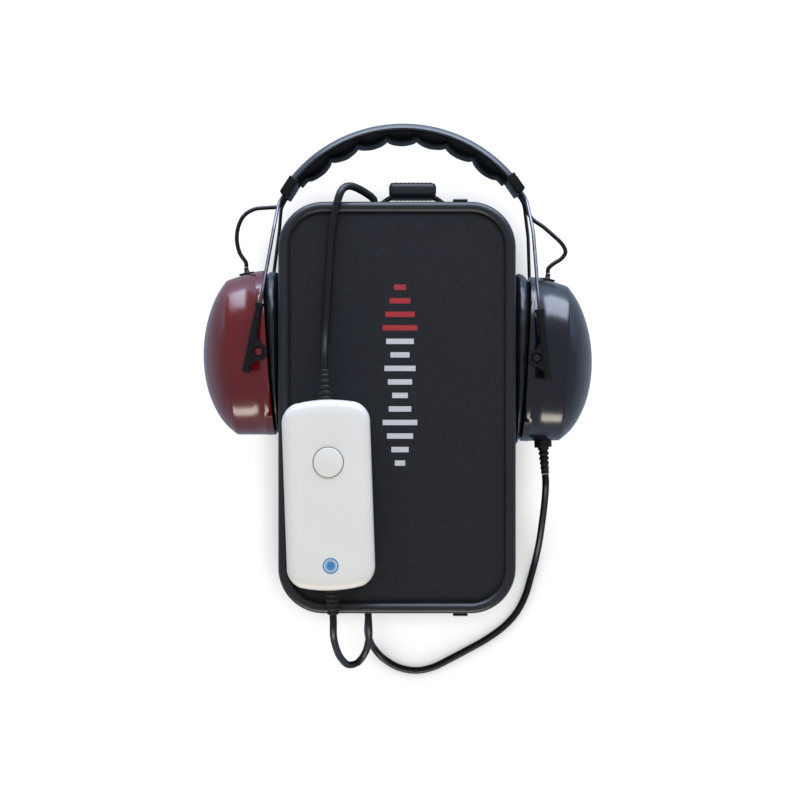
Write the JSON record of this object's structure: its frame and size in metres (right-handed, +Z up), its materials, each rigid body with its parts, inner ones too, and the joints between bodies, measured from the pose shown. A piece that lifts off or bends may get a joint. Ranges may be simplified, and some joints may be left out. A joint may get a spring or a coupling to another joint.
{
  "type": "audiometer kit",
  "caption": "Screening audiometer kit: handheld unit with response button, red and blue headset, soft zip case and cords.",
  "frame": {"origin": "centre of the case's underside, on the surface that it stands on", "axes": "+Z up through the lid, +Y from the unit's lead end towards the headband, +X towards the blue cup"},
  "size_m": [0.2544, 0.366, 0.125],
  "materials": {
    "case_fabric": "woven, matt",
    "case_piping": "smooth, low sheen",
    "zip_tape": "woven tape with moulded teeth",
    "white_plastic": "fine moulded texture",
    "black_plastic": "satin",
    "cord_rubber": "satin",
    "red_plastic": "satin gloss",
    "blue_plastic": "satin gloss",
    "leatherette": "soft sheen",
    "steel": "bright drawn wire",
    "circuit": "solder mask"
  },
  "bodies": {
    "case": {"case_base_shell": "case_fabric", "case_base_piping": "case_piping", "case_hinge_tape": "case_fabric", "zip_tape_lower": "zip_tape", "handle_grip": "case_piping", "handle_strap": "case_fabric", "handle_patch": "case_fabric", "usb_cord_run": "cord_rubber", "usb_cord_coil": "cord_rubber", "usb_plug_body": "cord_rubber", "usb_plug_shell": "steel", "lead_run_unit": "cord_rubber", "lead_coil": "cord_rubber", "lead_run_cup": "cord_rubber", "usb_coil_tie": "case_fabric", "lead_coil_tie": "case_fabric"},
    "lid": {"case_lid_panel": "case_fabric", "case_lid_piping": "case_piping", "zip_tape_upper": "zip_tape"},
    "unit": {"unit_top_shell": "white_plastic", "unit_bottom_shell": "white_plastic", "unit_end_panel_top": "white_plastic", "unit_end_panel_bottom": "white_plastic", "unit_circuit_board": "circuit", "unit_sound_chip": "black_plastic", "unit_push_switch": "black_plastic", "unit_screw_upper": "steel", "unit_screw_lower": "steel", "usb_strain_relief": "cord_rubber", "lead_strain_relief": "cord_rubber"},
    "button": {"response_button": "white_plastic"},
    "slider_top": {"zip_slider_top": "steel"},
    "pull_top": {"zip_pull_top": "steel"},
    "slider_bottom": {"zip_slider_bottom": "steel"},
    "pull_bottom": {"zip_pull_bottom": "steel"},
    "headband": {"headband_cover": "leatherette", "headband_cushion": "leatherette", "headband_spring": "steel", "headband_crossover_wire": "cord_rubber", "red_band_clip": "black_plastic", "blue_band_clip": "black_plastic"},
    "red_arm": {"red_wire_yoke": "steel", "red_crossover_cord": "cord_rubber"},
    "blue_arm": {"blue_wire_yoke": "steel", "blue_crossover_cord": "cord_rubber"},
    "red_sleeves": {"red_sleeve_upper": "black_plastic", "red_sleeve_lower": "black_plastic"},
    "blue_sleeves": {"blue_sleeve_upper": "black_plastic", "blue_sleeve_lower": "black_plastic"},
    "red_cup": {"red_cup_shell": "red_plastic", "red_cup_baffle": "black_plastic", "red_receiver": "black_plastic", "red_ear_cushion": "leatherette", "red_cord_grommet": "cord_rubber"},
    "blue_cup": {"blue_cup_shell": "blue_plastic", "blue_cup_baffle": "black_plastic", "blue_receiver": "black_plastic", "blue_ear_cushion": "leatherette", "blue_cord_grommet": "cord_rubber", "blue_lead_strain_relief": "cord_rubber"}
  },
  "joints": [
    {"name": "lid_hinge", "type": "hinge", "parent": "case", "child": "lid", "pos_m": [0.075, 0, 0.09075], "axis": [0, 1, 0], "range_deg": [0, 68], "deforming": ["usb_cord_run", "lead_run_unit"]},
    {"name": "unit_lift", "type": "slide", "parent": "lid", "child": "unit", "axis": [0, 0, 1], "range_m": [0, 0.06]},
    {"name": "button_press", "type": "slide", "parent": "unit", "child": "button", "axis": [0, 0, -1], "range_m": [0, 0.0012], "stiffness_N_per_m": 900, "springref_m": -0.0012},
    {"name": "headset_pull_off", "type": "slide", "parent": "case", "child": "headband", "axis": [0, 1, 0], "range_m": [0, 0.16], "deforming": ["lead_run_cup"]},
    {"name": "red_arm_spread", "type": "hinge", "parent": "headband", "child": "red_arm", "pos_m": [-0.07225, 0.14046, 0.0495], "axis": [0, 0, -1], "range_deg": [0, 10], "stiffness_Nm_per_rad": 2, "springref_deg": -28.65, "deforming": ["red_crossover_cord"]},
    {"name": "red_height", "type": "slide", "parent": "red_arm", "child": "red_sleeves", "axis": [-0.2045, -0.9789, 0], "range_m": [0, 0.014]},
    {"name": "red_cup_tilt", "type": "hinge", "parent": "red_sleeves", "child": "red_cup", "pos_m": [-0.0882, 0.0356, 0.0495], "axis": [0, 0, -1], "range_deg": [-10, 0]},
    {"name": "blue_arm_spread", "type": "hinge", "parent": "headband", "child": "blue_arm", "pos_m": [0.07916, 0.14265, 0.0495], "axis": [0, 0, 1], "range_deg": [0, 10], "stiffness_Nm_per_rad": 2, "springref_deg": -28.65, "deforming": ["blue_crossover_cord"]},
    {"name": "blue_height", "type": "slide", "parent": "blue_arm", "child": "blue_sleeves", "axis": [0.1167, -0.9932, 0], "range_m": [0, 0.014]},
    {"name": "blue_cup_tilt", "type": "hinge", "parent": "blue_sleeves", "child": "blue_cup", "pos_m": [0.089, 0.0315, 0.0495], "axis": [0, 0, 1], "range_deg": [-10, 0]},
    {"name": "zip_slide_top", "type": "slide", "parent": "case", "child": "slider_top", "axis": [-1, 0, 0], "range_m": [0, 0.04]},
    {"name": "pull_swing_top", "type": "hinge", "parent": "slider_top", "child": "pull_top", "pos_m": [0.0405, 0.1322, 0.0839], "axis": [1, 0, 0], "range_deg": [0, 85]},
    {"name": "zip_slide_bottom", "type": "slide", "parent": "case", "child": "slider_bottom", "axis": [-1, 0, 0], "range_m": [0, 0.04]},
    {"name": "pull_swing_bottom", "type": "hinge", "parent": "slider_bottom", "child": "pull_bottom", "pos_m": [0.0405, -0.1322, 0.0839], "axis": [-1, 0, 0], "range_deg": [0, 85]}
  ],
  "couplings": [
    {"joint": "red_cup_tilt", "follows": "red_arm_spread", "ratio": -1},
    {"joint": "blue_cup_tilt", "follows": "blue_arm_spread", "ratio": -1}
  ]
}
